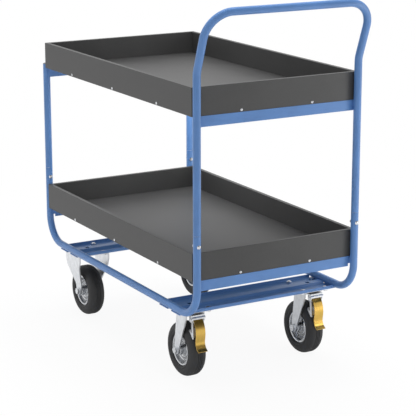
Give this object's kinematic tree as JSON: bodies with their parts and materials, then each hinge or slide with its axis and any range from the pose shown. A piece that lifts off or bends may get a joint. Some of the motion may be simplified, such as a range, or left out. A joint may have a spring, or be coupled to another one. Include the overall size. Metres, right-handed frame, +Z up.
{
  "type": "table trolley",
  "caption": "Two-tier table trolley: blue bent-tube frame with a leaning push handle, grey board trays, fixed casters at the front and braked swivel casters at the rear.",
  "frame": {"origin": "centre of the bounding box on the floor under the wheels", "axes": "+X towards the push handle end, -Y towards the left side of a person who pushes, +Z up"},
  "size_m": [1.0622, 0.544, 1.0861],
  "materials": {
    "frame_paint": "satin blue powder coat",
    "tray_board": "matte dark grey laminate on board",
    "zinc_steel": "bright zinc plate",
    "rim_zinc": "bright zinc plate, pressed rings",
    "tyre_rubber": "matte black solid rubber",
    "pedal_yellow": "yellow passivated steel",
    "cap_plastic": "grey moulded plastic"
  },
  "bodies": {
    "frame": {"caster_bolts": "zinc_steel", "caster_nuts": "zinc_steel", "cross_member_front": "frame_paint", "cross_member_rear": "frame_paint", "deck_screws": "zinc_steel", "fixed_axle_bolt": "zinc_steel", "fixed_axle_nut": "zinc_steel", "fixed_axle_sleeve": "zinc_steel", "fixed_fork_left": "zinc_steel", "fixed_fork_right": "zinc_steel", "front_upright_left": "frame_paint", "front_upright_right": "frame_paint", "joint_bolts": "zinc_steel", "joint_nuts": "zinc_steel", "king_pins": "zinc_steel", "lower_angle_front": "frame_paint", "lower_angle_rear": "frame_paint", "lower_end_front": "tray_board", "lower_end_rear": "tray_board", "lower_floor": "tray_board", "lower_side_left": "tray_board", "lower_side_right": "tray_board", "push_handle": "frame_paint", "side_tube_left": "frame_paint", "side_tube_right": "frame_paint", "swivel_plate_left": "zinc_steel", "swivel_plate_right": "zinc_steel", "tray_screws": "zinc_steel", "tube_spigots": "zinc_steel", "upper_angle_front": "frame_paint", "upper_angle_rear": "frame_paint", "upper_end_front": "tray_board", "upper_end_rear": "tray_board", "upper_floor": "tray_board", "upper_side_left": "tray_board", "upper_side_right": "tray_board", "upright_caps": "cap_plastic"},
    "brake_left": {"brake_arm_left": "zinc_steel", "brake_pedal_left": "pedal_yellow"},
    "brake_right": {"brake_arm_right": "zinc_steel", "brake_pedal_right": "pedal_yellow"},
    "swivel_left": {"left_swivel_axle_bolt": "zinc_steel", "left_swivel_axle_nut": "zinc_steel", "left_swivel_axle_sleeve": "zinc_steel", "pedal_pin_left": "zinc_steel", "swivel_fork_left": "zinc_steel"},
    "swivel_right": {"pedal_pin_right": "zinc_steel", "right_swivel_axle_bolt": "zinc_steel", "right_swivel_axle_nut": "zinc_steel", "right_swivel_axle_sleeve": "zinc_steel", "swivel_fork_right": "zinc_steel"},
    "wheel_front_left": {"rim_front_left": "rim_zinc", "tyre_front_left": "tyre_rubber"},
    "wheel_front_right": {"rim_front_right": "rim_zinc", "tyre_front_right": "tyre_rubber"},
    "wheel_rear_left": {"rim_rear_left": "rim_zinc", "tyre_rear_left": "tyre_rubber"},
    "wheel_rear_right": {"rim_rear_right": "rim_zinc", "tyre_rear_right": "tyre_rubber"}
  },
  "joints": [
    {"name": "front_left_wheel_spin", "type": "hinge", "parent": "frame", "child": "wheel_front_left", "pos_m": [-0.36307, -0.201, 0.08], "axis": [0, 1, 0], "continuous": true},
    {"name": "rear_left_swivel", "type": "hinge", "parent": "frame", "child": "swivel_left", "pos_m": [0.30962, -0.201, 0.1995], "axis": [0, 0, 1], "continuous": true},
    {"name": "rear_left_wheel_spin", "type": "hinge", "parent": "swivel_left", "child": "wheel_rear_left", "pos_m": [0.29163, -0.201, 0.08], "axis": [0, 1, 0], "continuous": true},
    {"name": "rear_left_brake_release", "type": "hinge", "parent": "swivel_left", "child": "brake_left", "pos_m": [0.35363, -0.201, 0.186], "axis": [0, -1, 0], "range_deg": [0, 35]},
    {"name": "front_right_wheel_spin", "type": "hinge", "parent": "frame", "child": "wheel_front_right", "pos_m": [-0.36307, 0.201, 0.08], "axis": [0, 1, 0], "continuous": true},
    {"name": "rear_right_swivel", "type": "hinge", "parent": "frame", "child": "swivel_right", "pos_m": [0.30962, 0.201, 0.1995], "axis": [0, 0, 1], "continuous": true},
    {"name": "rear_right_wheel_spin", "type": "hinge", "parent": "swivel_right", "child": "wheel_rear_right", "pos_m": [0.29163, 0.201, 0.08], "axis": [0, 1, 0], "continuous": true},
    {"name": "rear_right_brake_release", "type": "hinge", "parent": "swivel_right", "child": "brake_right", "pos_m": [0.35363, 0.201, 0.186], "axis": [0, -1, 0], "range_deg": [0, 35]}
  ]
}
